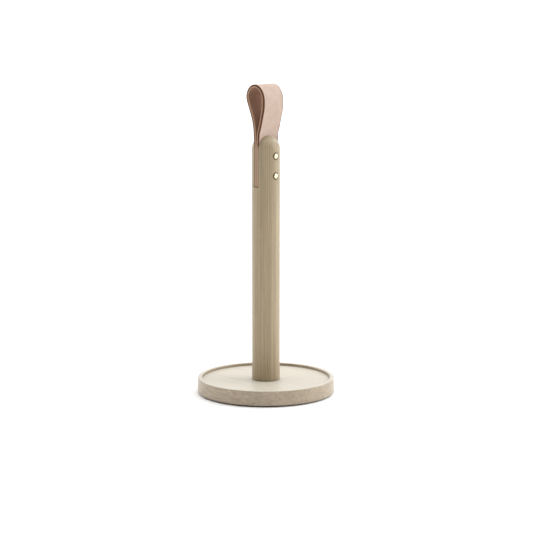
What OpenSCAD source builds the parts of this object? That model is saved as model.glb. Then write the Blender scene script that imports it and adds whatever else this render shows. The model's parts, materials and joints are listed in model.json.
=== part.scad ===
// Paper towel holder: a turned oak base, a slotted oak pole and a folded leather hanging loop.
// +X runs along the two posts that clamp the strap, with their plain heads on the +X side.
// The strap's width runs along Y. +Z is up, and the foot pads stand on z = 0.

/* [Base] */
// Diameter of the base
base_d = 140; // [110:1:200]
// Thickness of the base at its rim
base_h = 15; // [12:0.5:24]
// Width of the raised rim
rim_w = 4.5; // [3:0.5:12]
// Depth of the recess inside the rim
recess_depth = 2.8; // [1:0.2:4]
// Radius of the base's rounded edges
edge_r = 0.8; // [0.4:0.1:1.4]

/* [Foot pads] */
// Diameter of one foot pad
pad_d = 14; // [8:1:20]
// Thickness of the foot pads
pad_t = 1.5; // [1:0.5:4]
// Distance from a pad's edge in to the base's edge
pad_inset = 5; // [2:1:15]
// Number of foot pads
pad_count = 4; // [3:1:6]

/* [Pole] */
// Diameter of the pole and of its domed top
pole_d = 28.5; // [24:0.5:36]
// Height of the pole from the recess floor to the top of its dome
pole_h = 251; // [180:1:320]
// Chamfer round the pole's foot
foot_chamfer = 0.4; // [0.2:0.1:1]
// Depth of the strap's slot, measured down from the top of the dome
slot_depth = 52; // [44:1:70]

/* [Strap] */
// Thickness of the leather
leather_t = 3; // [2:0.1:4]
// Height of the loop above the top of the dome
loop_h = 51.3; // [40:1:80]
// Outer width of the loop where it is widest
loop_w = 24.4; // [18:0.5:36]
// How much taller the loop's crown is than a round one
crown_stretch = 1.12; // [1:0.02:1.3]
// Radius of the bend by which each layer leaves the slot
flare_r = 20; // [14:1:40]
// Angle by which the loop leans over at rest
loop_lean = 2.8; // [0:0.1:5]
// Height of the flex line above the top of the dome
flex_rise = 3.5; // [3:0.5:8]

/* [Posts] */
// Diameter of a post's barrel
barrel_d = 5; // [4:0.5:6]
// Diameter of the posts' domed heads
post_head_d = 7.2; // [6:0.2:9]
// Thickness of a post head's edge
post_brim_h = 0.5; // [0.3:0.1:1]
// Height of the dome on a post's head
post_dome_h = 0.7; // [0.5:0.1:1.6]
// Diameter of a post screw's thread
post_thread_d = 3; // [2.5:0.5:3.5]
// Length of a post screw's thread
post_thread_l = 12; // [8:1:16]
// Width of the slot in a post screw's head
driver_slot_w = 0.9; // [0.6:0.1:1.2]
// Depth of the slot in a post screw's head
driver_slot_depth = 0.7; // [0.4:0.1:1]
// Height of the upper post below the top of the dome
upper_post_drop = 20.6; // [18:0.2:24]
// Distance between the two posts
post_spacing = 20; // [14:1:24]

/* [Base screw] */
// Thread diameter of the screw that holds the pole
screw_d = 6; // [5:1:8]
// Diameter of the screw's button head
screw_head_d = 10.5; // [9:0.5:14]
// Height of the screw's button head
screw_head_h = 3.3; // [2.7:0.1:4]
// Width across the flats of the screw's hexagon socket
socket_af = 4; // [3:0.5:5]
// Depth of the screw's hexagon socket
socket_depth = 2; // [1.5:0.1:2.5]
// Length of screw inside the pole's insert
screw_grip = 11.7; // [8:0.1:18]
// Diameter of the washer
washer_d = 18; // [15:1:24]
// Thickness of the washer
washer_t = 1.6; // [1:0.2:2]
// Outer diameter of the threaded insert
insert_d = 10; // [9:0.5:12]
// Length of the threaded insert
insert_l = 15; // [10:1:22]

/* [Clearances] */
// Gap on each side between the strap and the slot's cheeks
slot_clearance = 0.1; // [0.05:0.05:0.4]
// Gap between the strap's two layers
fold_gap = 0.1; // [0.05:0.05:0.5]
// Distance of the strap's edges inside the pole's surface
strap_inset = 0.1; // [0.05:0.05:1]
// Gap between the strap's ends and the slot's bottom
tail_gap = 1; // [0.5:0.5:3]
// Gap all round the flex line, between the loop and the tails
flex_gap = 0.3; // [0.2:0.05:0.5]
// Radial gap between a barrel and the pole
barrel_clearance = 0.05; // [0.02:0.01:0.2]
// Radial gap between a barrel and the leather
leather_clearance = 0.1; // [0.05:0.05:0.5]
// Radial gap between a post's head and its spot face
spot_clearance = 0.2; // [0.1:0.05:0.5]
// Radial gap between a thread and the hole it screws into
thread_clearance = 0.05; // [0.02:0.01:0.2]
// Radial gap between the base screw and the base
screw_clearance = 0.3; // [0.2:0.1:1]
// Radial gap between the washer and its counterbore
washer_clearance = 1; // [0.5:0.5:2]
// Depth of the screw's head and of the insert's mouth inside the wood
sink_depth = 0.6; // [0.3:0.1:1]

/* [Hidden] */
$fn = 96;
LEVELS = ["upper", "lower"];
PADS = [for (i = [1:pad_count]) i];
overrun = 1; // how far a cutting shape passes a face

// Heights and radii of the base and the pole
base_r = base_d / 2;
recess_r = base_r - rim_w;
floor_h = base_h - recess_depth;
floor_z = pad_t + floor_h;
pole_r = pole_d / 2;
pole_top_z = floor_z + pole_h;
dome_z = pole_top_z - pole_r;
pad_ring_r = base_r - pad_inset - pad_d / 2;
pad_chamfer = 0.3;

// The slot, and the strap in it
strap_t = 2 * leather_t + fold_gap;
slot_w = strap_t + 2 * slot_clearance;
slot_z = pole_top_z - slot_depth;
strap_w = 2 * (sqrt(pow(pole_r, 2) - pow(slot_w / 2, 2)) - strap_inset);

// The posts: each head bears on a spot face cut just under the pole's round surface
spot_d = post_head_d + 2 * spot_clearance;
spot_depth = 0.2;
seat_x = sqrt(pow(pole_r, 2) - pow(spot_d / 2, 2)) - spot_depth;
barrel_end_gap = 2; // between a barrel's open end and the screw's head
barrel_l = 2 * seat_x - barrel_end_gap;
barrel_bore_l = post_thread_l;
post_pitch = 0.5;
POST_Z = [for (i = [0, 1]) pole_top_z - upper_post_drop - i * post_spacing];

// The screw stack under the base, from its lower face up
counterbore_d = washer_d + 2 * washer_clearance;
washer_z = pad_t + sink_depth + screw_head_h;
counterbore_z = washer_z + washer_t;
insert_z = floor_z + sink_depth;
screw_l = floor_z + screw_grip - washer_z;
screw_brim_h = 0.6;
screw_pitch = 1;
insert_pitch = 2;
insert_hole_l = sink_depth + insert_l + 1;

// Centreline of one strap layer, drawn with the loop's crown squashed round. It leaves the slot at
// (layer_x, part_z), bends outward by flare_a, runs straight, and joins a crown of radius crown_r.
layer_x = (fold_gap + leather_t) / 2;
part_drop = 1.5; // how far below the dome's top the layers start to part
part_z = pole_top_z - part_drop;
crown_r = (loop_w - leather_t) / 2;
crown_up = (loop_h + part_drop - leather_t / 2) / crown_stretch - crown_r;
flare_x = layer_x + flare_r;
flare_a = atan2(crown_up, flare_x) - acos((crown_r + flare_r) / norm([flare_x, crown_up]));
flare_steps = 8;
crown_steps = 30;

// The flex line, and the radius of a bar along it that holds both layers
flex_z = pole_top_z + flex_rise;
knuckle_margin = 0.25;
flex_bend_a = asin((flex_z - part_z) / crown_stretch / flare_r);
knuckle_r = strap_t / 2 + flare_r * (1 - cos(flex_bend_a)) + knuckle_margin;

// A point of the centreline with its outward normal, [x, z, nx, nz], for a squashed point
function stretched(x, up, a) =
    let (n = [cos(a) * crown_stretch, sin(a)])
    [x, part_z + up * crown_stretch, n[0] / norm(n), n[1] / norm(n)];

// Centreline of the +X layer, from its lower end to the top of the crown
CENTRELINE = concat(
    [[layer_x, slot_z + tail_gap, 1, 0]],
    [for (i = [0:flare_steps]) let (a = flare_a * i / flare_steps)
        stretched(flare_x - flare_r * cos(a), flare_r * sin(a), -a)],
    [for (i = [0:crown_steps]) let (a = (90 + flare_a) * i / crown_steps - flare_a)
        stretched(crown_r * cos(a), crown_up + crown_r * sin(a), a)]
);

// Both layers at one distance from their centreline, from the lower +X end round to the -X one
function strap_line(out) = concat(
    [for (p = CENTRELINE) [p[0] + out * p[2], p[1] + out * p[3]]],
    [for (i = [len(CENTRELINE) - 2:-1:0]) let (p = CENTRELINE[i])
        [-p[0] - out * p[2], p[1] + out * p[3]]]
);
function reversed(points) = [for (i = [len(points) - 1:-1:0]) points[i]];

// Rectangle with all four corners rounded
module rounded_box(x0, x1, y0, y1, r) {
    translate([x0 + r, y0]) square([x1 - x0 - 2 * r, y1 - y0]);
    translate([x0, y0 + r]) square([x1 - x0, y1 - y0 - 2 * r]);
    for (x = [x0 + r, x1 - r], y = [y0 + r, y1 - r]) translate([x, y]) circle(r);
}

// Low dome on a thin brim, rising from z = 0
module domed_head(d, brim_h, dome_h) {
    ball_r = (pow(d / 2, 2) + pow(dome_h, 2)) / (2 * dome_h);
    rotate_extrude() {
        square([d / 2, brim_h]);
        intersection() {
            translate([0, brim_h + dome_h - ball_r]) circle(ball_r);
            square([d / 2, brim_h + dome_h]);
        }
    }
}

// Rod rising from z = 0, with V ridges in place of a helical thread
module ridged_rod(d, pitch, length) {
    root_r = d / 2 - 0.6 * pitch;
    ridges = floor(length / pitch - 0.5);
    plain_l = length - ridges * pitch;
    rotate_extrude()
        polygon(concat(
            [[0, 0], [root_r, 0], [root_r, plain_l]],
            [for (i = [0:ridges - 1], half = [0.5, 1])
                [half == 1 ? root_r : d / 2, plain_l + (i + half) * pitch]],
            [[0, length]]
        ));
}

// Cylinder along X through both post heights
module post_bars(d) {
    for (z = POST_Z)
        translate([0, 0, z]) rotate([0, 90, 0])
            cylinder(h = pole_d + 2 * overrun, d = d, center = true);
}

// Both layers and the loop in one piece
module strap_blank() {
    rotate([90, 0, 0])
        linear_extrude(height = strap_w, center = true)
            polygon(concat(strap_line(leather_t / 2), reversed(strap_line(-leather_t / 2))));
}

// Round bar along the flex line
module flex_bar(r) {
    translate([0, 0, flex_z]) rotate([90, 0, 0])
        cylinder(h = strap_w + 2 * overrun, r = r, center = true);
}

// Block round the strap between two heights
module strap_block(z0, z1) {
    translate([-loop_w, -pole_d, z0]) cube([2 * loop_w, 2 * pole_d, z1 - z0]);
}

module base() {
    color("burlywood")
        translate([0, 0, pad_t])
            difference() {
                rotate_extrude() {
                    square([base_r - rim_w / 2, floor_h]);
                    rounded_box(recess_r, base_r, 0, base_h, edge_r);
                }
                translate([0, 0, -overrun])
                    cylinder(h = base_h + overrun, d = screw_d + 2 * screw_clearance);
                translate([0, 0, -overrun])
                    cylinder(h = counterbore_z - pad_t + overrun, d = counterbore_d);
            }
}

module pole() {
    color("tan")
        difference() {
            rotate_extrude() {
                translate([0, floor_z])
                    polygon([[0, 0], [pole_r - foot_chamfer, 0], [pole_r, foot_chamfer],
                        [pole_r, dome_z - floor_z], [0, dome_z - floor_z]]);
                translate([0, dome_z])
                    intersection() {
                        circle(pole_r);
                        square(pole_r);
                    }
            }
            translate([-slot_w / 2, -pole_d, slot_z]) cube([slot_w, 2 * pole_d, slot_depth + overrun]);
            post_bars(barrel_d + 2 * barrel_clearance);
            for (z = POST_Z, side = [-90, 90])
                translate([0, 0, z]) rotate([0, side, 0])
                    translate([0, 0, seat_x]) cylinder(h = pole_r, d = spot_d);
            translate([0, 0, floor_z - overrun])
                cylinder(h = overrun + insert_hole_l, d = insert_d + 2 * thread_clearance);
        }
}

module strap_tails() {
    color("rosybrown")
        difference() {
            strap_blank();
            strap_block(flex_z, pole_top_z + loop_h + overrun);
            flex_bar(knuckle_r + flex_gap);
            post_bars(barrel_d + 2 * leather_clearance);
        }
}

module strap_loop() {
    color("rosybrown")
        translate([0, 0, flex_z]) rotate([0, -loop_lean, 0]) translate([0, 0, -flex_z])
            difference() {
                strap_blank();
                difference() {
                    strap_block(slot_z, flex_z);
                    flex_bar(knuckle_r);
                }
            }
}

module post_barrel(z) {
    color("gold")
        translate([0, 0, z]) rotate([0, 90, 0])
            difference() {
                union() {
                    translate([0, 0, seat_x]) domed_head(post_head_d, post_brim_h, post_dome_h);
                    translate([0, 0, seat_x - barrel_l])
                        cylinder(h = barrel_l + post_brim_h / 2, d = barrel_d);
                }
                translate([0, 0, seat_x - barrel_l - overrun])
                    cylinder(h = overrun + barrel_bore_l, d = post_thread_d + 2 * thread_clearance);
            }
}

module post_screw(z) {
    head_h = post_brim_h + post_dome_h;
    color("goldenrod")
        translate([0, 0, z]) rotate([0, -90, 0])
            difference() {
                union() {
                    translate([0, 0, seat_x]) domed_head(post_head_d, post_brim_h, post_dome_h);
                    translate([0, 0, seat_x - post_thread_l])
                        ridged_rod(post_thread_d, post_pitch, post_thread_l + post_brim_h / 2);
                }
                translate([-post_head_d, -driver_slot_w / 2, seat_x + head_h - driver_slot_depth])
                    cube([2 * post_head_d, driver_slot_w, head_h]);
            }
}

module base_screw() {
    color("silver")
        difference() {
            union() {
                translate([0, 0, washer_z]) mirror([0, 0, 1])
                    domed_head(screw_head_d, screw_brim_h, screw_head_h - screw_brim_h);
                translate([0, 0, washer_z - screw_brim_h / 2])
                    ridged_rod(screw_d, screw_pitch, screw_l + screw_brim_h / 2);
            }
            translate([0, 0, washer_z - screw_head_h - overrun])
                cylinder(h = overrun + socket_depth, d = socket_af / cos(30), $fn = 6);
        }
}

module base_washer() {
    color("silver")
        translate([0, 0, washer_z])
            difference() {
                cylinder(h = washer_t, d = washer_d);
                translate([0, 0, -overrun])
                    cylinder(h = washer_t + 2 * overrun, d = screw_d + 2 * screw_clearance);
            }
}

module threaded_insert() {
    color("darkgoldenrod")
        translate([0, 0, insert_z])
            difference() {
                ridged_rod(insert_d, insert_pitch, insert_l);
                translate([0, 0, -overrun])
                    cylinder(h = insert_l + 2 * overrun, d = screw_d + 2 * thread_clearance);
            }
}

module foot_pad(i) {
    color("dimgray")
        rotate([0, 0, (i - 0.5) * 360 / pad_count]) translate([pad_ring_r, 0, 0]) {
            cylinder(h = pad_chamfer, d1 = pad_d - 2 * pad_chamfer, d2 = pad_d);
            translate([0, 0, pad_chamfer]) cylinder(h = pad_t - pad_chamfer, d = pad_d);
        }
}

base();
pole();
strap_tails();
strap_loop();
for (i = [0, 1]) {
    post_barrel(POST_Z[i]);
    post_screw(POST_Z[i]);
}
base_screw();
base_washer();
threaded_insert();
for (i = PADS)
    foot_pad(i);
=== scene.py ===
"""Looks of a paper towel holder: oak base and pole, folded leather loop, brass posts.

Lengths are in metres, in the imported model's own frame: +Z is up, +X runs along the two posts
and the strap's width lies along Y.
"""

import json
import logging
import math
from collections.abc import Callable, Iterable, Sequence
from dataclasses import dataclass, field
from enum import Enum

import bmesh
import bpy
from mathutils import Matrix, Vector


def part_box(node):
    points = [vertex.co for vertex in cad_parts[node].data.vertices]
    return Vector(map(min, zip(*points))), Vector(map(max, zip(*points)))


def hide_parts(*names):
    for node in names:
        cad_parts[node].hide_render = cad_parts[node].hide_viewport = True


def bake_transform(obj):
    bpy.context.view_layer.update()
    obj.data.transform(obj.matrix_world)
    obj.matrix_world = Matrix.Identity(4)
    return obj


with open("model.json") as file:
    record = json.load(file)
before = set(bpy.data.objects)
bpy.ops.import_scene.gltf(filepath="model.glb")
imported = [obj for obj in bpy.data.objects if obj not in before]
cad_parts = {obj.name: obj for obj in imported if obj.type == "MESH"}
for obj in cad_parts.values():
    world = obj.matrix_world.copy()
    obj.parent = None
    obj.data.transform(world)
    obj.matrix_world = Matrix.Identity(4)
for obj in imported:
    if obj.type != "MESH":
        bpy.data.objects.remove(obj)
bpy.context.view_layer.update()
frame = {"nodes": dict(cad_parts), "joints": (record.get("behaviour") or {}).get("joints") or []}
MM = 0.001
LOG = logging.getLogger("holder")

Colour = tuple[float, float, float]
Point = tuple[float, float]
Socket = bpy.types.NodeSocket
Value = float | Sequence[float] | Socket


# ---------------------------------------------------------------- node trees


class Tree:
    """Short calls that add nodes to one node tree and join them."""

    def __init__(self, tree: bpy.types.NodeTree) -> None:
        """Keep the tree that the calls add to."""
        self.tree = tree

    def feed(self, socket: Socket, value: Value) -> None:
        """Join a socket to another one, or set its own value.

        Args:
            socket: The input to feed.
            value: An output socket, a number, or a colour or vector.
        """
        if isinstance(value, bpy.types.NodeSocket):
            self.tree.links.new(value, socket)
        elif isinstance(value, (int, float)) or len(value) == len(socket.default_value):
            socket.default_value = value
        else:
            socket.default_value = (*value, 1.0)

    def node(
        self, kind: str, inputs: dict[str | int, Value] | None = None, **settings: object
    ) -> bpy.types.Node:
        """Add one node.

        Args:
            kind: The node's type without its "ShaderNode" prefix.
            inputs: Values or sockets for its inputs, by name or number.
            settings: Properties to set on the node.

        Returns:
            The new node.
        """
        node = self.tree.nodes.new(f"ShaderNode{kind}")
        for name, setting in settings.items():
            setattr(node, name, setting)
        for key, value in (inputs or {}).items():
            self.feed(node.inputs[key], value)
        return node

    def math(self, operation: str, *values: Value) -> Socket:
        """Add a Math node and return its result."""
        return self.node("Math", dict(enumerate(values)), operation=operation).outputs[0]

    def vector_math(self, operation: str, *values: Value) -> Socket:
        """Add a Vector Math node and return its vector."""
        return self.node("VectorMath", dict(enumerate(values)), operation=operation).outputs[0]

    def mix(self, share: Value, first: Value, second: Value, blend: str = "MIX") -> Socket:
        """Mix two colours.

        Args:
            share: How much of the second colour shows, 0 to 1.
            first: The colour at share 0.
            second: The colour at share 1.
            blend: The Mix node's blend type.

        Returns:
            The mixed colour.
        """
        node = self.node("Mix", data_type="RGBA", blend_type=blend)
        for number, value in ((0, share), (6, first), (7, second)):
            self.feed(node.inputs[number], value)
        return node.outputs[2]

    def ease(
        self, value: Value, low: Value, high: Value, to_low: Value = 0.0, to_high: Value = 1.0
    ) -> Socket:
        """Map low..high to to_low..to_high with a smooth step, held at both ends."""
        inputs = dict(enumerate((value, low, high, to_low, to_high)))
        return self.node("MapRange", inputs, interpolation_type="SMOOTHSTEP").outputs[0]

    def noise(self, vector: Value, scale: Value = 1.0, detail: float = 2.0, roughness: float = 0.5) -> Socket:
        """Add a 3D noise texture and return its value."""
        inputs = {"Vector": vector, "Scale": scale, "Detail": detail, "Roughness": roughness}
        return self.node("TexNoise", inputs).outputs["Fac"]

    def group(self, tree: bpy.types.NodeTree, inputs: dict[str | int, Value]) -> bpy.types.Node:
        """Place a node group and feed its inputs."""
        node = self.node("Group", node_tree=tree)
        for key, value in inputs.items():
            self.feed(node.inputs[key], value)
        return node


def shader_group(
    name: str,
    inputs: dict[str, float | None],
    outputs: Sequence[str],
    fill: Callable[[Tree, bpy.types.NodeOutputs], dict[str, Socket]],
) -> bpy.types.NodeTree:
    """Build a shader node group with named sockets.

    Args:
        name: The group's name.
        inputs: Input names with their usual value, or None for a vector.
        outputs: Names of the value outputs.
        fill: Adds the nodes, given the tree and the input sockets, and returns output sockets by name.

    Returns:
        The finished node group.
    """
    tree = bpy.data.node_groups.new(name, "ShaderNodeTree")
    for key, usual in inputs.items():
        kind = "NodeSocketVector" if usual is None else "NodeSocketFloat"
        socket = tree.interface.new_socket(key, in_out="INPUT", socket_type=kind)
        if usual is not None:
            socket.default_value = usual
    for key in outputs:
        tree.interface.new_socket(key, in_out="OUTPUT", socket_type="NodeSocketFloat")
    nodes = Tree(tree)
    made = fill(nodes, tree.nodes.new("NodeGroupInput").outputs)
    end = tree.nodes.new("NodeGroupOutput")
    for key, socket in made.items():
        tree.links.new(socket, end.inputs[key])
    return tree


class Effects:
    """The shader node groups that the materials share, each built once.

    The cell counts are noise cells per metre of wood: twice across the grain, then along it.
    """

    BEND_CELLS = (22.0, 22.0, 3.5)
    STREAK_CELLS = (2600.0, 2600.0, 34.0)
    BUNDLE_CELLS = (520.0, 520.0, 7.0)
    VESSEL_CELLS = (3300.0, 3300.0, 130.0)
    TONE_CELLS = (110.0, 110.0, 5.0)
    RAY_TURN = 60.0
    RAY_CELLS = (1.6, 90.0, 110.0)
    RING_DRIFT_CELLS = 160.0
    RING_DRIFT = 4.0
    RING_TONE_CELLS = 310.0
    EDGE_PATCH_CELLS = 260.0
    SCRATCH_TURNS = (0.6, 2.1)
    SCRATCH_STRETCH = (1.0, 0.04, 1.0)

    def __init__(self) -> None:
        """Build every group."""
        self.oak = shader_group(
            "Oak figure",
            {"Wood": None, "Ring Width": 2.4 * MM, "Waviness": 4.0 * MM},
            ("Rings", "Pores", "Rays", "Fibres", "Tone"),
            self._fill_oak,
        )
        self.wear = shader_group(
            "Edge wear", {"Radius": 0.8 * MM, "Patchiness": 0.5}, ("Wear",), self._fill_edge_mask
        )
        # painted shade in crevices and joints
        self.crevice = shader_group("Crevice dirt", {"Reach": 4.0 * MM}, ("Shadow",), self._fill_crevice)
        self.mottle = shader_group(
            "Mottle",
            {"Vector": None, "Patch": 6.0 * MM, "Speck": 0.5 * MM},
            ("Patches", "Specks"),
            self._fill_mottle,
        )
        self.scratches = shader_group(
            "Fine scratches", {"Vector": None, "Width": 0.05 * MM}, ("Lines",), self._fill_scratches
        )

    @staticmethod
    def _fill_oak(nodes: Tree, given: bpy.types.NodeOutputs) -> dict[str, Socket]:
        """Oak in wood space: z runs along the grain and the pith is on the z axis."""
        wood, width, wave = given["Wood"], given["Ring Width"], given["Waviness"]
        bend = nodes.noise(nodes.vector_math("MULTIPLY", wood, Effects.BEND_CELLS), detail=1.0)
        flat = nodes.vector_math("MULTIPLY", wood, (1.0, 1.0, 0.0))
        radius = nodes.node("VectorMath", {0: flat}, operation="LENGTH").outputs["Value"]
        wavy = nodes.math("MULTIPLY_ADD", nodes.math("SUBTRACT", bend, 0.5), wave, radius)
        uneven = nodes.noise(nodes.node("CombineXYZ", {0: wavy}).outputs[0], Effects.RING_DRIFT_CELLS, 1.0)
        drift = nodes.math("MULTIPLY", uneven, Effects.RING_DRIFT)
        phase = nodes.math("ADD", nodes.math("DIVIDE", wavy, width), drift)
        share = nodes.math("FRACT", phase)
        early = nodes.math("SUBTRACT", 1.0, nodes.ease(share, 0.08, 0.5))
        onset = nodes.ease(share, 0.0, 0.06)
        ring_cells = nodes.math("MULTIPLY", wavy, Effects.RING_TONE_CELLS)
        vary = nodes.noise(nodes.node("CombineXYZ", {0: ring_cells}).outputs[0], 1.0, 1.0)
        strength = nodes.ease(vary, 0.3, 0.65, 0.25, 1.0)
        rings = nodes.math("MULTIPLY", nodes.math("MULTIPLY", early, onset), strength)

        streak = nodes.noise(nodes.vector_math("MULTIPLY", wood, Effects.STREAK_CELLS), detail=3.0)
        bundle = nodes.noise(nodes.vector_math("MULTIPLY", wood, Effects.BUNDLE_CELLS), detail=2.0)
        fibres = nodes.math("ADD", nodes.math("MULTIPLY", streak, 0.5), nodes.math("MULTIPLY", bundle, 0.5))

        vessel = nodes.noise(nodes.vector_math("MULTIPLY", wood, Effects.VESSEL_CELLS), detail=1.0)
        open_at = nodes.math("MULTIPLY_ADD", rings, -0.16, 0.74)
        pores = nodes.ease(nodes.math("SUBTRACT", vessel, open_at), 0.0, 0.07)

        place = nodes.node("SeparateXYZ", {0: wood}).outputs
        turn = nodes.math("ARCTAN2", place[1], place[0])
        around = nodes.math("MULTIPLY", turn, Effects.RAY_TURN)
        polar = nodes.node("CombineXYZ", {0: around, 1: radius, 2: place[2]}).outputs[0]
        ray = nodes.noise(nodes.vector_math("MULTIPLY", polar, Effects.RAY_CELLS), detail=2.0)
        rays = nodes.ease(ray, 0.62, 0.7)

        tone = nodes.noise(nodes.vector_math("MULTIPLY", wood, Effects.TONE_CELLS), detail=2.0)
        return {"Rings": rings, "Pores": pores, "Rays": rays, "Fibres": fibres, "Tone": tone}

    @staticmethod
    def _fill_edge_mask(nodes: Tree, given: bpy.types.NodeOutputs) -> dict[str, Socket]:
        """Where the surface turns within a small radius, broken up by patches."""
        soft = nodes.node("Bevel", {"Radius": given["Radius"]}, samples=6).outputs[0]
        true = nodes.node("NewGeometry").outputs["Normal"]
        turn = nodes.node("VectorMath", {0: soft, 1: true}, operation="DOT_PRODUCT").outputs["Value"]
        edge = nodes.ease(turn, 0.995, 0.86)
        where = nodes.node("TexCoord").outputs["Object"]
        patch = nodes.ease(nodes.noise(where, Effects.EDGE_PATCH_CELLS, 3.0), 0.35, 0.65)
        kept = nodes.math("SUBTRACT", 1.0, nodes.math("MULTIPLY", patch, given["Patchiness"]))
        return {"Wear": nodes.math("MULTIPLY", edge, kept)}

    @staticmethod
    def _fill_crevice(nodes: Tree, given: bpy.types.NodeOutputs) -> dict[str, Socket]:
        """Painted shade, darker where other surfaces close in, as in a corner or along a joint."""
        open_sky = nodes.node("AmbientOcclusion", {"Distance": given["Reach"]}, samples=8).outputs["AO"]
        return {"Shadow": nodes.ease(open_sky, 0.9, 0.25)}

    @staticmethod
    def _fill_mottle(nodes: Tree, given: bpy.types.NodeOutputs) -> dict[str, Socket]:
        """Soft cloudy patches, and small specks."""
        patches = nodes.noise(given["Vector"], nodes.math("DIVIDE", 1.0, given["Patch"]), 3.0, 0.6)
        specks = nodes.noise(given["Vector"], nodes.math("DIVIDE", 1.0, given["Speck"]), 2.0, 0.7)
        return {"Patches": patches, "Specks": specks}

    @staticmethod
    def _fill_scratches(nodes: Tree, given: bpy.types.NodeOutputs) -> dict[str, Socket]:
        """Hairline scratches in two directions."""
        lines: list[Socket] = []
        for turn in Effects.SCRATCH_TURNS:
            turned = nodes.node("Mapping", {"Vector": given["Vector"], "Rotation": (turn, 0.3, turn)})
            long = nodes.vector_math("MULTIPLY", turned.outputs[0], Effects.SCRATCH_STRETCH)
            lines.append(nodes.noise(long, nodes.math("DIVIDE", 1.0, given["Width"]), 1.0))
        return {"Lines": nodes.ease(nodes.math("MAXIMUM", *lines), 0.62, 0.75)}


# ------------------------------------------------------------------ finishes


def new_material(name: str) -> tuple[bpy.types.Material, Tree, bpy.types.Node]:
    """Start a material with one Principled shader.

    Args:
        name: The material's name.

    Returns:
        The material, its tree and the shader node.
    """
    material = bpy.data.materials.new(name)
    material.use_nodes = True
    nodes = Tree(material.node_tree)
    return material, nodes, material.node_tree.nodes["Principled BSDF"]


@dataclass(frozen=True)
class OakFinish:
    """Soaped, matt pale oak cut from one place in a log."""

    name: str
    late: Colour
    early: Colour
    pore: Colour
    ray: Colour
    # paler colour of the painted top light on upward faces
    painted_top_light: Colour
    # edge colour: lighter wear on the base's rims, painted shade along the pole's edges
    edge: Colour
    # colour of the painted shade in crevices and joints
    dirt: Colour
    grain_turn: tuple[float, float, float]
    pith: tuple[float, float, float]
    ring_width: float = 2.4 * MM
    waviness: float = 4.0 * MM
    painted_top_light_share: float = 0.0
    edge_share: float = 0.35
    ray_share: float = 0.4
    shadow_share: float = 0.5
    ring_share: float = 0.75
    tone_share: float = 0.4
    pore_share: float = 0.6
    fibre_light: Point = (0.80, 1.12)
    roughness: Point = (0.5, 0.38)
    mask_radius: float = 1.1 * MM
    mask_patchiness: float = 0.4
    shadow_reach: float = 5.0 * MM
    pore_depth: float = 0.08 * MM

    def material(self, effects: Effects) -> bpy.types.Material:
        """Build the wood's material.

        Args:
            effects: The shared node groups.

        Returns:
            The finished material.
        """
        material, nodes, shader = new_material(self.name)
        where = nodes.node("TexCoord").outputs["Object"]
        wood = nodes.node(
            "Mapping", {"Vector": where, "Location": self.pith, "Rotation": self.grain_turn}
        ).outputs[0]
        oak = nodes.group(
            effects.oak, {"Wood": wood, "Ring Width": self.ring_width, "Waviness": self.waviness}
        ).outputs
        wear = nodes.group(
            effects.wear, {"Radius": self.mask_radius, "Patchiness": self.mask_patchiness}
        ).outputs["Wear"]
        crevice = nodes.group(effects.crevice, {"Reach": self.shadow_reach}).outputs["Shadow"]
        colour = nodes.mix(nodes.math("MULTIPLY", oak["Rings"], self.ring_share), self.late, self.early)
        colour = nodes.mix(nodes.ease(oak["Tone"], 0.3, 0.7, 0.0, self.tone_share), colour, self.early)
        fibre = nodes.ease(oak["Fibres"], 0.3, 0.7, *self.fibre_light)
        grey = nodes.node("CombineColor", {0: fibre, 1: fibre, 2: fibre}).outputs[0]
        colour = nodes.mix(1.0, colour, grey, "MULTIPLY")
        colour = nodes.mix(nodes.math("MULTIPLY", oak["Rays"], self.ray_share), colour, self.ray)
        colour = nodes.mix(nodes.math("MULTIPLY", oak["Pores"], self.pore_share), colour, self.pore)
        # painted top light: faces that point up are lightened
        upward = nodes.node("SeparateXYZ", {0: nodes.node("NewGeometry").outputs["Normal"]}).outputs[2]
        colour = nodes.mix(nodes.ease(upward, 0.3, 0.95, 0.0, self.painted_top_light_share), colour, self.painted_top_light)
        # edges: lighter wear on the base's rims, painted shade along the pole's edges and slot
        colour = nodes.mix(nodes.math("MULTIPLY", wear, self.edge_share), colour, self.edge)
        # painted shade in crevices and joints, where other surfaces close in
        colour = nodes.mix(nodes.math("MULTIPLY", crevice, self.shadow_share), colour, self.dirt)
        nodes.feed(shader.inputs["Base Color"], colour)
        nodes.feed(shader.inputs["Roughness"], nodes.ease(oak["Fibres"], 0.3, 0.7, *self.roughness))
        nodes.feed(shader.inputs["Specular IOR Level"], 0.5)
        nodes.feed(shader.inputs["Sheen Weight"], 0.2)
        nodes.feed(shader.inputs["Sheen Roughness"], 0.35)
        sunk = nodes.math("MULTIPLY_ADD", oak["Pores"], -1.0, nodes.math("MULTIPLY", oak["Fibres"], 0.5))
        bump = nodes.node("Bump", {"Height": sunk, "Strength": 0.5, "Distance": self.pore_depth})
        nodes.feed(shader.inputs["Normal"], bump.outputs[0])
        return material


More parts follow.
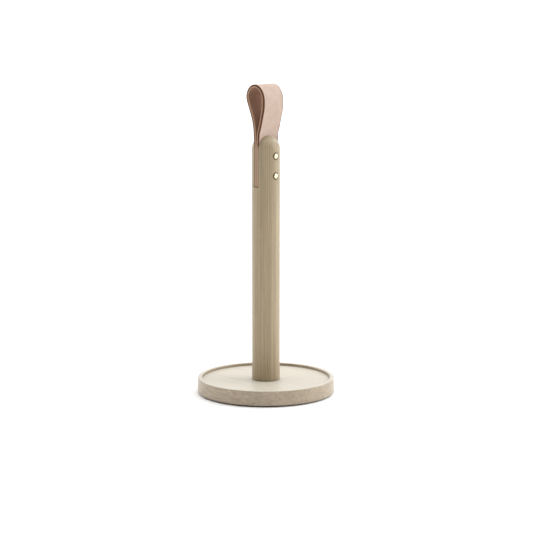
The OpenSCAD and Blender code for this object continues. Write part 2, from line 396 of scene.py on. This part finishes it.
@dataclass(frozen=True)
class LeatherFinish:
    """Natural vegetable-tanned strap leather, smooth outside, rough inside, dark at its cut edges.

    The cut edge is raw below the height handled_from, and dyed and rubbed above handled_to.
    """

    grain: Colour = (0.485, 0.352, 0.281)
    flush: Colour = (0.522, 0.39, 0.318)
    scuff: Colour = (0.38, 0.27, 0.215)
    flesh: Colour = (0.26, 0.135, 0.085)
    fleece: Colour = (0.36, 0.22, 0.15)
    burnish: Colour = (0.105, 0.043, 0.018)
    core: Colour = (0.40, 0.25, 0.17)
    raw: Colour = (0.35, 0.25, 0.18)
    handled_from: float = 0.250
    handled_to: float = 0.257
    cloud: float = 9.0 * MM
    speck: float = 0.5 * MM
    mark: float = 2.6 * MM
    mark_share: float = 0.45
    fibre: float = 1.2 * MM
    pebble: float = 0.55 * MM
    relief: float = 0.12 * MM
    roughness: Point = (0.5, 0.9)
    name: str = "natural leather"

    def material(self, effects: Effects) -> bpy.types.Material:
        """Build the leather's material.

        Args:
            effects: The shared node groups.

        Returns:
            The finished material, which reads the mesh attributes rest, depth and cut.
        """
        material, nodes, shader = new_material(self.name)
        where = nodes.node("Attribute", attribute_name="rest").outputs["Vector"]
        depth = nodes.node("Attribute", attribute_name="depth").outputs["Fac"]
        cut = nodes.node("Attribute", attribute_name="cut").outputs["Fac"]
        mottle = nodes.group(
            effects.mottle, {"Vector": where, "Patch": self.cloud, "Speck": self.speck}
        ).outputs
        marks = nodes.group(
            effects.mottle, {"Vector": where, "Patch": self.mark, "Speck": self.fibre}
        ).outputs
        outside = nodes.ease(depth, 0.45, 0.55)

        smooth = nodes.mix(nodes.ease(mottle["Patches"], 0.35, 0.65), self.grain, self.flush)
        smooth = nodes.mix(nodes.ease(marks["Patches"], 0.56, 0.72, 0.0, self.mark_share), smooth, self.scuff)
        rough = nodes.mix(nodes.ease(mottle["Specks"], 0.35, 0.7), self.flesh, self.fleece)
        face = nodes.mix(outside, rough, smooth)

        ragged = nodes.math("MULTIPLY_ADD", nodes.math("SUBTRACT", marks["Specks"], 0.5), 0.3, depth)
        dyed = nodes.mix(nodes.ease(ragged, 0.34, 0.48), self.core, self.burnish)
        fibres = nodes.mix(nodes.ease(marks["Specks"], 0.35, 0.65), self.raw, self.core)
        height = nodes.node("SeparateXYZ", {0: where}).outputs[2]
        side = nodes.mix(nodes.ease(height, self.handled_from, self.handled_to), fibres, dyed)
        nodes.feed(shader.inputs["Base Color"], nodes.mix(nodes.ease(cut, 0.35, 0.65), face, side))

        cells = nodes.node("TexVoronoi", {"Vector": where, "Scale": 1.0 / self.pebble}, feature="SMOOTH_F1")
        pebble = nodes.math("MULTIPLY", cells.outputs["Distance"], outside)
        fuzz = nodes.math("MULTIPLY", mottle["Specks"], nodes.math("SUBTRACT", 1.4, outside))
        relief = nodes.math("ADD", pebble, fuzz)
        bump = nodes.node("Bump", {"Height": relief, "Strength": 0.35, "Distance": self.relief})
        nodes.feed(shader.inputs["Normal"], bump.outputs[0])
        dull = nodes.math("MAXIMUM", cut, nodes.math("SUBTRACT", 1.0, outside))
        nodes.feed(shader.inputs["Roughness"], nodes.ease(dull, 0.0, 1.0, *self.roughness))
        nodes.feed(shader.inputs["Specular IOR Level"], 0.3)
        return material


@dataclass(frozen=True)
class MetalFinish:
    """Polished or machined metal with fine scratches.

    A domed head along X may get a painted dark reflection where its face turns away: from rim_start,
    the X part of its normal, to rim_full.
    """

    name: str
    colour: Colour
    stain: Colour
    roughness: float
    scratch: float = 0.12
    # strength of the painted dark reflection on a domed head's rim
    painted_dark_rim: float = 0.0
    rim_start: float = 0.972
    rim_full: float = 0.963
    rim_shade: float = 0.2
    patch: float = 2.0 * MM
    speck: float = 0.3 * MM
    scratch_width: float = 0.06 * MM
    scratch_depth: float = 0.01 * MM
    edge_radius: float = 0.12 * MM

    def material(self, effects: Effects) -> bpy.types.Material:
        """Build the metal's material.

        Args:
            effects: The shared node groups.

        Returns:
            The finished material.
        """
        material, nodes, shader = new_material(self.name)
        where = nodes.node("TexCoord").outputs["Object"]
        mottle = nodes.group(
            effects.mottle, {"Vector": where, "Patch": self.patch, "Speck": self.speck}
        ).outputs
        lines = nodes.group(
            effects.scratches, {"Vector": where, "Width": self.scratch_width}
        ).outputs["Lines"]
        colour = nodes.mix(nodes.ease(mottle["Patches"], 0.5, 0.75, 0.0, 0.5), self.colour, self.stain)
        # painted dark reflection on the rim: darker and less shiny where the head's face turns away
        if self.painted_dark_rim:
            normal = nodes.node("SeparateXYZ", {0: nodes.node("NewGeometry").outputs["Normal"]}).outputs[0]
            facing = nodes.math("ABSOLUTE", normal)
            rim = nodes.ease(facing, self.rim_start, self.rim_full, 0.0, self.painted_dark_rim)
            colour = nodes.mix(rim, colour, tuple(self.rim_shade * part for part in self.stain))
            nodes.feed(shader.inputs["Metallic"], nodes.math("SUBTRACT", 1.0, rim))
            nodes.feed(shader.inputs["Specular IOR Level"], 0.1)
        else:
            nodes.feed(shader.inputs["Metallic"], 1.0)
        nodes.feed(shader.inputs["Base Color"], colour)
        polish = nodes.ease(mottle["Specks"], 0.3, 0.7, self.roughness * 0.8, self.roughness * 1.3)
        rough = nodes.math("MULTIPLY_ADD", lines, self.scratch, polish)
        nodes.feed(shader.inputs["Roughness"], rough)
        soft = nodes.node("Bevel", {"Radius": self.edge_radius}, samples=6).outputs[0]
        bump = nodes.node(
            "Bump", {"Height": lines, "Strength": 0.2, "Distance": self.scratch_depth, "Normal": soft}
        )
        nodes.feed(shader.inputs["Normal"], bump.outputs[0])
        return material


@dataclass(frozen=True)
class RubberFinish:
    """Matt dark rubber with dust in its pores."""

    name: str = "foot pad rubber"
    colour: Colour = (0.045, 0.038, 0.032)
    dust: Colour = (0.16, 0.14, 0.12)
    patch: float = 3.0 * MM
    speck: float = 0.4 * MM
    mask_radius: float = 0.4 * MM
    roughness: Point = (0.75, 0.9)
    relief: float = 0.06 * MM

    def material(self, effects: Effects) -> bpy.types.Material:
        """Build the rubber's material.

        Args:
            effects: The shared node groups.

        Returns:
            The finished material.
        """
        material, nodes, shader = new_material(self.name)
        where = nodes.node("TexCoord").outputs["Object"]
        mottle = nodes.group(
            effects.mottle, {"Vector": where, "Patch": self.patch, "Speck": self.speck}
        ).outputs
        wear = nodes.group(effects.wear, {"Radius": self.mask_radius, "Patchiness": 0.7}).outputs["Wear"]
        settled = nodes.ease(mottle["Patches"], 0.5, 0.8, 0.0, 0.5)
        dusty = nodes.math("MAXIMUM", settled, nodes.math("MULTIPLY", wear, 0.6))
        nodes.feed(shader.inputs["Base Color"], nodes.mix(dusty, self.colour, self.dust))
        nodes.feed(shader.inputs["Roughness"], nodes.ease(mottle["Specks"], 0.3, 0.7, *self.roughness))
        bump = nodes.node("Bump", {"Height": mottle["Specks"], "Strength": 0.4, "Distance": self.relief})
        nodes.feed(shader.inputs["Normal"], bump.outputs[0])
        return material


# -------------------------------------------------------------------- pieces


def smooth_step(value: float, low: float, high: float) -> float:
    """Rise smoothly from 0 at low to 1 at high."""
    share = min(max((value - low) / (high - low), 0.0), 1.0)
    return share * share * (3.0 - 2.0 * share)


def curve_through(knots: Sequence[Point], place: float) -> float:
    """Follow a smooth curve through a few knots.

    Args:
        knots: (place, value) pairs in rising order.
        place: Where to read the curve; past either end it keeps the end's value.

    Returns:
        The curve's value.
    """
    if place <= knots[0][0]:
        return knots[0][1]
    if place >= knots[-1][0]:
        return knots[-1][1]
    i = max(n for n, knot in enumerate(knots[:-1]) if knot[0] <= place)

    def slope(n: int) -> float:
        """Return the curve's slope at a knot, level at the first one."""
        if n == 0:
            return 0.0
        if n == len(knots) - 1:
            return (knots[n][1] - knots[n - 1][1]) / (knots[n][0] - knots[n - 1][0])
        return (knots[n + 1][1] - knots[n - 1][1]) / (knots[n + 1][0] - knots[n - 1][0])

    (x0, y0), (x1, y1) = knots[i], knots[i + 1]
    step = x1 - x0
    t = (place - x0) / step
    return (
        (1 + 2 * t) * (1 - t) ** 2 * y0
        + t * (1 - t) ** 2 * step * slope(i)
        + t * t * (3 - 2 * t) * y1
        + t * t * (t - 1) * step * slope(i + 1)
    )


def between(first: float, last: float, count: int) -> list[float]:
    """Return count + 1 evenly spaced numbers from first to last."""
    return [first + (last - first) * i / count for i in range(count + 1)]


def new_object(
    name: str, mesh: bpy.types.Mesh, material: bpy.types.Material | None = None
) -> bpy.types.Object:
    """Put a mesh into the scene.

    Args:
        name: The new object's name.
        mesh: Its mesh.
        material: Its only material, if it has one.

    Returns:
        The new object.
    """
    piece = bpy.data.objects.new(name, mesh)
    bpy.context.scene.collection.objects.link(piece)
    if material is not None:
        mesh.materials.clear()
        mesh.materials.append(material)
    return piece


def dress(names: Iterable[str], material: bpy.types.Material) -> None:
    """Give carried-over nodes one material.

    Args:
        names: The nodes' names.
        material: The material that fills each of their slots.
    """
    for name in names:
        for slot in frame["nodes"][name].material_slots:
            slot.material = material
        LOG.info("%s: %s", name, material.name)


@dataclass
class Wood:
    """The turned base and the slotted pole."""

    base: OakFinish = OakFinish(
        name="soaped oak, flat sawn",
        late=(0.43, 0.348, 0.252),
        early=(0.312, 0.243, 0.168),
        pore=(0.20, 0.135, 0.080),
        ray=(0.62, 0.52, 0.40),
        # painted top light on upward faces, lighter wear on the rims' edges and painted shade in crevices, in
        # the next three colours
        painted_top_light=(0.595, 0.572, 0.495),
        edge=(0.62, 0.54, 0.43),
        dirt=(0.17, 0.12, 0.08),
        grain_turn=(0.0, math.radians(90.0), 0.0),
        pith=(0.125, 0.014, 0.0),
        ring_width=2.3 * MM,
        waviness=7.0 * MM,
        painted_top_light_share=0.55,
        ray_share=0.3,
        shadow_share=0.38,
    )
    pole: OakFinish = OakFinish(
        name="soaped oak, dowel",
        late=(0.405, 0.318, 0.198),
        early=(0.272, 0.202, 0.119),
        pore=(0.18, 0.125, 0.072),
        ray=(0.50, 0.415, 0.29),
        # painted top light on upward faces, then painted shade along the edges and in crevices, in the next
        # three colours
        painted_top_light=(0.54, 0.485, 0.375),
        edge=(0.17, 0.115, 0.075),
        dirt=(0.17, 0.115, 0.075),
        grain_turn=(0.0, 0.0, 0.0),
        pith=(0.031, 0.024, 0.0),
        ring_width=2.2 * MM,
        waviness=2.5 * MM,
        painted_top_light_share=0.2,
        ray_share=0.15,
        edge_share=0.6,
        shadow_share=0.6,
    )

    def dress(self, effects: Effects) -> None:
        """Dress both pieces, each with its own cut of the same wood."""
        dress(["base"], self.base.material(effects))
        dress(["pole"], self.pole.material(effects))


class Layer(Enum):
    """One of the strap's two layers; its value is the way it faces along X."""

    RIGHT = 1.0
    LEFT = -1.0


@dataclass(frozen=True)
class StrapSteps:
    """How finely each stretch of the strap is divided."""

    tail: int = 40
    flare: int = 10
    straight: int = 12
    crown: int = 48
    corner: int = 5
    face: int = 28
    side: int = 6
    punch: int = 64


@dataclass
class Strap:
    """The leather strap: folded over at the top, both layers held in the pole's slot.

    sway and fullness are (millimetres above the pole's top, value) knots: how far the loop leans along X
    in millimetres, and how much wider it is than the even loop. The layers part at their edges by
    edge_flare, over part_below from where the cheeks let go, and close again over part_above.
    dye_inside and dye_outside bound the band where the dyed edge runs onto the flat face. bend_below,
    under the flex line, and bend_above, over it, are not used.
    """

    width: float = 27.595 * MM
    leather: float = 3.0 * MM
    fold_gap: float = 0.1 * MM
    slot_depth: float = 52.0 * MM
    tail_gap: float = 1.0 * MM
    part_drop: float = 1.5 * MM
    loop_height: float = 51.3 * MM
    loop_width: float = 24.4 * MM
    crown_stretch: float = 1.12
    flare_radius: float = 20.0 * MM
    edge_flare: float = 0.8 * MM
    edge_round: float = 0.35 * MM
    outer_round: float = 0.75 * MM
    sway: tuple[Point, ...] = ((0.0, 0.0), (8.0, 0.75), (16.0, 0.9), (26.0, 0.3), (37.5, -1.6), (51.3, -2.6))
    fullness: tuple[Point, ...] = (
        (0.0, 1.0), (8.0, 1.03), (16.0, 1.04), (26.0, 1.09), (37.5, 1.04), (51.3, 1.0)
    )
    part_below: float = 9.0 * MM
    part_above: float = 18.0 * MM
    dye_inside: float = 0.9 * MM
    dye_outside: float = 0.4 * MM
    head_brim: float = 1.1 * MM
    hole_clearance: float = 0.1 * MM
    bend_below: float = 4.0 * MM
    bend_above: float = 17.0 * MM
    steps: StrapSteps = StrapSteps()
    finish: LeatherFinish = LeatherFinish()
    top: float = field(init=False)
    flex: float = field(init=False)
    pole_radius: float = field(init=False)

    def __post_init__(self) -> None:
        """Take the pole's top and radius and the flex line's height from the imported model."""
        low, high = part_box("pole")
        self.top = high.z
        self.pole_radius = (high.x - low.x) / 2
        self.flex = next(joint["pos_m"][2] for joint in frame["joints"] if joint["name"] == "strap_flex")

    def centreline(self) -> list[tuple[float, float, float, float]]:
        """Trace the middle of the +X layer.

        Returns:
            (x, z, normal x, normal z) from the layer's lower end to the top of the crown.
        """
        layer_x = (self.fold_gap + self.leather) / 2
        crown_radius = (self.loop_width - self.leather) / 2
        crown_up = (self.loop_height + self.part_drop - self.leather / 2) / self.crown_stretch - crown_radius
        flare_x = layer_x + self.flare_radius
        reach = math.hypot(flare_x, crown_up)
        flare = math.atan2(crown_up, flare_x) - math.acos((crown_radius + self.flare_radius) / reach)
        part_z = self.top - self.part_drop

        def stretched(x: float, up: float, angle: float) -> tuple[float, float, float, float]:
            """Place a point of the round loop in the stretched one."""
            normal = Vector((math.cos(angle) * self.crown_stretch, math.sin(angle))).normalized()
            return (x, part_z + up * self.crown_stretch, normal.x, normal.y)

        bottom = self.top - self.slot_depth + self.tail_gap
        points = [(layer_x, z, 1.0, 0.0) for z in between(bottom, part_z, self.steps.tail)[:-1]]
        for angle in between(0.0, flare, self.steps.flare):
            x = flare_x - self.flare_radius * math.cos(angle)
            points.append(stretched(x, self.flare_radius * math.sin(angle), -angle))
        start = Vector((flare_x - self.flare_radius * math.cos(flare), self.flare_radius * math.sin(flare)))
        end = Vector((crown_radius * math.cos(flare), crown_up - crown_radius * math.sin(flare)))
        for share in between(0.0, 1.0, self.steps.straight)[1:-1]:
            spot = start.lerp(end, share)
            points.append(stretched(spot.x, spot.y, -flare))
        for angle in between(-flare, math.pi / 2, self.steps.crown):
            up = crown_up + crown_radius * math.sin(angle)
            points.append(stretched(crown_radius * math.cos(angle), up, angle))
        return points

    def section(self) -> list[Point]:
        """Outline the leather's cut section.

        Returns:
            (y, outward) points round a rectangle, its corners eased more on the outer side.
        """
        half_y, half_d = self.width / 2, self.leather / 2
        outline: list[Point] = []
        for corner_y, corner_d, turn in ((-1, 1, 180.0), (1, 1, 90.0), (1, -1, 0.0), (-1, -1, -90.0)):
            ease = self.outer_round if corner_d > 0 else self.edge_round
            for angle in between(turn, turn - 90.0, self.steps.corner):
                across = corner_y * (half_y - ease) + ease * math.cos(math.radians(angle))
                outline.append((across, corner_d * (half_d - ease) + ease * math.sin(math.radians(angle))))
            if corner_y * corner_d < 0:
                reach = corner_d * (half_y - ease)
                outline += [(y, corner_d * half_d) for y in between(-reach, reach, self.steps.face)[1:-1]]
            else:
                first, last = half_d - self.outer_round, -half_d + self.edge_round
                ends = (first, last) if corner_y > 0 else (last, first)
                outline += [(corner_y * half_y, d) for d in between(*ends, self.steps.side)[1:-1]]
        return outline

    def settle(self, x: float, y: float, z: float, layer: Layer) -> Vector:
        """Let the layers part at their edges, and let the loop sway and fill out as real leather does.

        Args:
            x: Place along the posts.
            y: Place across the strap.
            z: Height.
            layer: The layer that the point is on.

        Returns:
            The settled point.
        """
        across = min(abs(y) / (self.width / 2), 1.0)
        cheek = (self.leather + self.fold_gap) ** 2
        leaves = self.top - self.pole_radius + math.sqrt(max(self.pole_radius**2 - cheek - y * y, 0.0))
        apart = smooth_step(z, leaves, leaves + self.part_below)
        apart *= 1.0 - smooth_step(z, self.top, self.top + self.part_above)
        x += layer.value * self.edge_flare * apart * across**2
        up = (z - self.top) / MM
        return Vector((x * curve_through(self.fullness, up) + curve_through(self.sway, up) * MM, y, z))

    def mesh(self) -> bpy.types.Mesh:
        """Sweep the section along the whole strap.

        Returns:
            A closed mesh with the attributes depth, 0 inside the fold to 1 outside, cut, 1 on a cut edge,
            and rest, the place before the strap bends.
        """
        right = self.centreline()
        stations = [(*point, Layer.RIGHT) for point in right]
        stations += [(-x, z, -nx, nz, Layer.LEFT) for x, z, nx, nz in right[-2::-1]]
        outline = self.section()
        shape = bmesh.new()
        depth = shape.verts.layers.float.new("depth")
        cut = shape.verts.layers.float.new("cut")
        rest = shape.verts.layers.float_vector.new("rest")
        flat = self.width / 2 - self.outer_round
        rings: list[list[bmesh.types.BMVert]] = []
        for x, z, nx, nz, layer in stations:
            ring = []
            for y, out in outline:
                vert = shape.verts.new(self.settle(x + out * nx, y, z + out * nz, layer))
                vert[depth] = out / self.leather + 0.5
                vert[cut] = smooth_step(abs(y), flat - self.dye_inside, flat + self.dye_outside)
                vert[rest] = vert.co
                ring.append(vert)
            rings.append(ring)
        count = len(outline)
        for lower, upper in zip(rings, rings[1:]):
            for i in range(count):
                j = (i + 1) % count
                shape.faces.new((lower[i], lower[j], upper[j], upper[i]))
        for ring in (rings[0], rings[-1]):
            cap = shape.faces.new(ring)
            for vert in ring:
                vert[cut] = max(vert[cut], 0.5)
            cap.smooth = False
        bmesh.ops.recalc_face_normals(shape, faces=shape.faces[:])
        for face in shape.faces:
            face.smooth = len(face.verts) == 4
        mesh = bpy.data.meshes.new("strap")
        shape.to_mesh(mesh)
        shape.free()
        return mesh

    def punch(self, strap: bpy.types.Object) -> None:
        """Cut the two holes that the barrels pass through."""
        for name in ("post_barrel_upper", "post_barrel_lower"):
            low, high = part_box(name)
            hole = (high.z - low.z) / 2 - self.head_brim + self.hole_clearance
            across = Matrix.Rotation(math.pi / 2, 4, "Y")
            shape = bmesh.new()
            bmesh.ops.create_cone(
                shape,
                cap_ends=True,
                segments=self.steps.punch,
                radius1=hole,
                radius2=hole,
                depth=self.pole_radius * 2,
                matrix=Matrix.Translation((0.0, 0.0, (low.z + high.z) / 2)) @ across,
            )
            mesh = bpy.data.meshes.new("punch")
            shape.to_mesh(mesh)
            shape.free()
            cutter = new_object("punch", mesh)
            modifier = strap.modifiers.new("hole", "BOOLEAN")
            modifier.object, modifier.operation, modifier.solver = cutter, "DIFFERENCE", "EXACT"
            bpy.context.view_layer.update()
            cut = strap.evaluated_get(bpy.context.evaluated_depsgraph_get())
            strap.data = bpy.data.meshes.new_from_object(cut)
            strap.modifiers.clear()
            bpy.data.objects.remove(cutter)

    def build(self, effects: Effects) -> bpy.types.Object:
        """Build and dress the strap in place of its two stiff stand-ins.

        Args:
            effects: The shared node groups.

        Returns:
            The strap.
        """
        strap = new_object("strap", self.mesh(), self.finish.material(effects))
        self.punch(strap)
        strap.modifiers.new("even normals", "WEIGHTED_NORMAL").keep_sharp = True
        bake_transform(strap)
        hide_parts("strap_tails", "strap_loop")
        LOG.info("strap: %d faces", len(strap.data.polygons))
        return strap


@dataclass
class Fixings:
    """The posts that clamp the strap, and the screw stack under the base."""

    # the brass heads get a painted dark reflection on their rims
    brass: MetalFinish = MetalFinish(
        "polished brass", (0.88, 0.72, 0.47), (0.62, 0.44, 0.24), 0.18, painted_dark_rim=1.0
    )
    insert: MetalFinish = MetalFinish("turned brass", (0.66, 0.48, 0.24), (0.40, 0.26, 0.12), 0.32, 0.2)
    steel: MetalFinish = MetalFinish("plated steel", (0.62, 0.62, 0.60), (0.40, 0.39, 0.36), 0.28, 0.2)
    rubber: RubberFinish = RubberFinish()

    def dress(self, effects: Effects) -> None:
        """Dress every metal piece and the foot pads."""
        levels = ("upper", "lower")
        brass = [f"post_{part}_{level}" for part in ("barrel", "screw") for level in levels]
        dress(brass, self.brass.material(effects))
        dress(["threaded_insert"], self.insert.material(effects))
        dress(["base_screw", "base_washer"], self.steel.material(effects))
        pads = sorted(name for name in frame["nodes"] if name.startswith("foot_pad"))
        dress(pads, self.rubber.material(effects))


@dataclass
class Softbox:
    """One large soft light.

    azimuth is in degrees from -Y towards +X, elevation in degrees, distance and size in metres and
    power in watts.
    """

    name: str
    azimuth: float
    elevation: float
    distance: float
    size: tuple[float, float]
    power: float
    colour: Colour = (1.0, 1.0, 1.0)

    def place(self, aim: Vector) -> None:
        """Hang the light round the object, facing it.

        Args:
            aim: The point it faces.
        """
        light = bpy.data.lights.new(self.name, "AREA")
        light.shape = "RECTANGLE"
        light.size, light.size_y = self.size
        light.energy, light.color = self.power, self.colour
        lamp = bpy.data.objects.new(self.name, light)
        bpy.context.scene.collection.objects.link(lamp)
        turn, tilt = math.radians(self.azimuth), math.radians(self.elevation)
        way = Vector((math.sin(turn) * math.cos(tilt), -math.cos(turn) * math.cos(tilt), math.sin(tilt)))
        lamp.location = aim + way * self.distance
        lamp.rotation_euler = way.to_track_quat("Z", "Y").to_euler()


@dataclass
class Studio:
    """White floor, soft light and the camera.

    azimuth is in degrees from -Y towards +X. sky_front and sky_back are the surroundings' strength
    behind the camera and behind the object, blended over sky_turn.
    """

    azimuth: float = 45.0
    distance: float = 1.780
    height: float = 0.416
    aim_height: float = 0.1295
    aim_right: float = 0.0016
    lens: float = 119.1
    sensor: float = 36.0
    floor_radius: float = 3.0
    floor_clouds: float = 40.0
    floor_dark: Colour = (0.92, 0.92, 0.92)
    floor_light: Colour = (0.94, 0.94, 0.94)
    sky_front: float = 0.2
    sky_back: float = 1.3
    sky_turn: Point = (-0.1, 0.75)
    top_strength: float = 1.5
    top_spread: float = 100.0
    top_tilt: tuple[float, float] = (-12.0, 10.0)
    light_aim: float = 0.15
    lights: list[Softbox] = field(
        default_factory=lambda: [
            Softbox("back right softbox", 143.0, 25.0, 1.3, (0.9, 1.2), 7.5, (0.93, 0.985, 1.0)),
            Softbox("left softbox", -60.0, 15.0, 1.2, (0.4, 1.2), 0.4),
        ]
    )

    def build(self) -> None:
        """Build the floor, the light and the camera."""
        self._floor()
        self._sky()
        self._top_light()
        for light in self.lights:
            light.place(Vector((0.0, 0.0, self.light_aim)))
        self._camera()
        bpy.context.scene.view_settings.view_transform = "Standard"

    def _floor(self) -> None:
        """Lay a round white floor under the foot pads."""
        shape = bmesh.new()
        bmesh.ops.create_circle(shape, cap_ends=True, segments=96, radius=self.floor_radius)
        mesh = bpy.data.meshes.new("floor")
        shape.to_mesh(mesh)
        shape.free()
        material, nodes, shader = new_material("white floor")
        where = nodes.node("TexCoord").outputs["Object"]
        clouds = nodes.noise(where, self.floor_clouds)
        nodes.feed(shader.inputs["Base Color"], nodes.mix(clouds, self.floor_dark, self.floor_light))
        nodes.feed(shader.inputs["Roughness"], 0.8)
        nodes.feed(shader.inputs["Specular IOR Level"], 0.2)
        new_object("floor", mesh, material)

    def _sky(self) -> None:
        """Surround the object with white, darker on the camera's side."""
        world = bpy.data.worlds.new("tent")
        bpy.context.scene.world = world
        world.use_nodes = True
        nodes = Tree(world.node_tree)
        turn = math.radians(self.azimuth)
        way = nodes.node("TexCoord").outputs["Generated"]
        facing = nodes.node(
            "VectorMath", {0: way, 1: (math.sin(turn), -math.cos(turn), 0.0)}, operation="DOT_PRODUCT"
        ).outputs["Value"]
        light = nodes.ease(facing, *self.sky_turn, self.sky_back, self.sky_front)
        seen = nodes.node("LightPath").outputs["Is Camera Ray"]
        strength = nodes.math("MAXIMUM", light, nodes.math("MULTIPLY", seen, self.sky_back))
        nodes.feed(world.node_tree.nodes["Background"].inputs["Strength"], strength)
        nodes.feed(world.node_tree.nodes["Background"].inputs["Color"], (1.0, 1.0, 1.0))

    def _top_light(self) -> None:
        """Add an even light from above."""
        light = bpy.data.lights.new("top light", "SUN")
        light.energy, light.angle = self.top_strength, math.radians(self.top_spread)
        lamp = bpy.data.objects.new("top light", light)
        lamp.rotation_euler = (*map(math.radians, self.top_tilt), 0.0)
        bpy.context.scene.collection.objects.link(lamp)

    def _camera(self) -> None:
        """Place the camera."""
        turn = math.radians(self.azimuth)
        place = Vector((math.sin(turn) * self.distance, -math.cos(turn) * self.distance, self.height))
        aim = Vector((math.cos(turn) * self.aim_right, math.sin(turn) * self.aim_right, self.aim_height))
        camera = bpy.data.objects.new("camera", bpy.data.cameras.new("camera"))
        camera.data.lens, camera.data.sensor_width = self.lens, self.sensor
        camera.location = place
        camera.rotation_euler = (place - aim).to_track_quat("Z", "Y").to_euler()
        bpy.context.scene.collection.objects.link(camera)
        bpy.context.scene.camera = camera


def main() -> None:
    """Build the studio, dress the kept nodes and build the strap."""
    logging.basicConfig(level=logging.INFO, format="%(name)s: %(message)s")
    effects = Effects()
    Studio().build()
    Wood().dress(effects)
    Strap().build(effects)
    Fixings().dress(effects)


if __name__ == "__main__":
    main()
